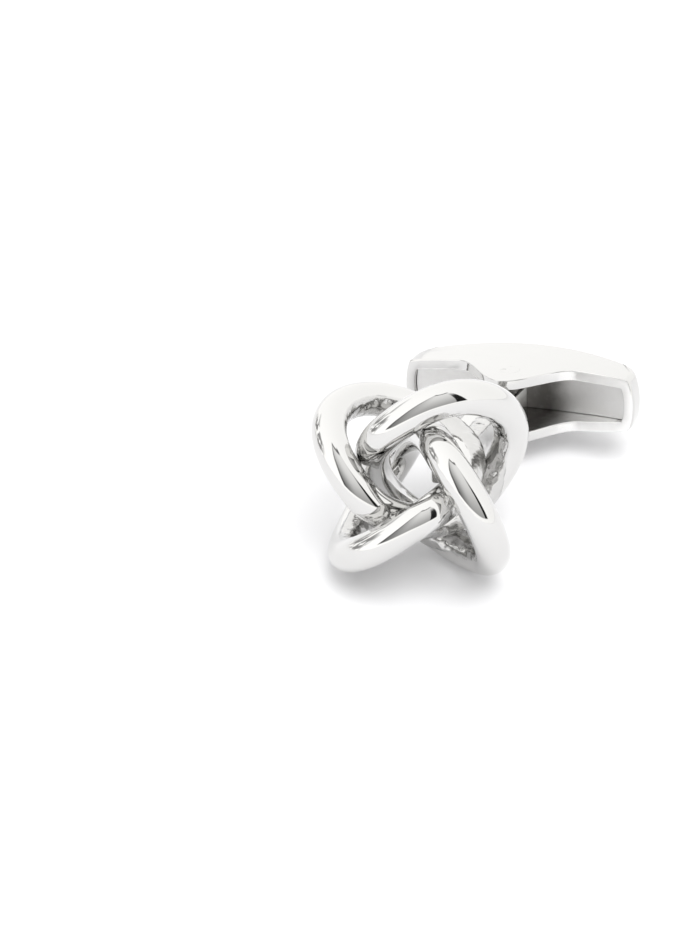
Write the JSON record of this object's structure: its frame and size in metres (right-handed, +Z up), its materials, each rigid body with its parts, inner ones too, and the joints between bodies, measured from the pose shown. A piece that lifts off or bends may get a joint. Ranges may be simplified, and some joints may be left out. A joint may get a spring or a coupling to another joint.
{
  "type": "knot cufflink",
  "caption": "Metal cufflink with an open knot of round strand for a head, a straight post and a hollow swivel bar that turns to fasten a shirt cuff.",
  "frame": {"origin": "middle of the lying piece's box, on the surface that it lies on", "axes": "+Y from the knot towards the swivel bar, +X to the right seen from the knot, +Z up; the post slopes down towards the bar and the whole piece is rolled on to the bar's left end"},
  "size_m": [0.02, 0.0312, 0.0161],
  "materials": {
    "knot": "bright polished plate, with rougher cast metal on the strand's inner side",
    "swivel_bar": "bright polished plate",
    "inner_plate": "polished plate, dull and dark beside the hub",
    "pivot_pin": "bright polished plate"
  },
  "bodies": {
    "head": {"knot": "knot"},
    "bar": {"swivel_bar": "swivel_bar", "inner_plate": "inner_plate", "pivot_pin": "pivot_pin"}
  },
  "joints": [
    {"name": "bar_swing", "type": "hinge", "parent": "head", "child": "bar", "pos_m": [0.00025, 0.00872, 0.00452], "axis": [-0.168, 0.1929, 0.9667], "range_deg": [-90, 90]}
  ]
}
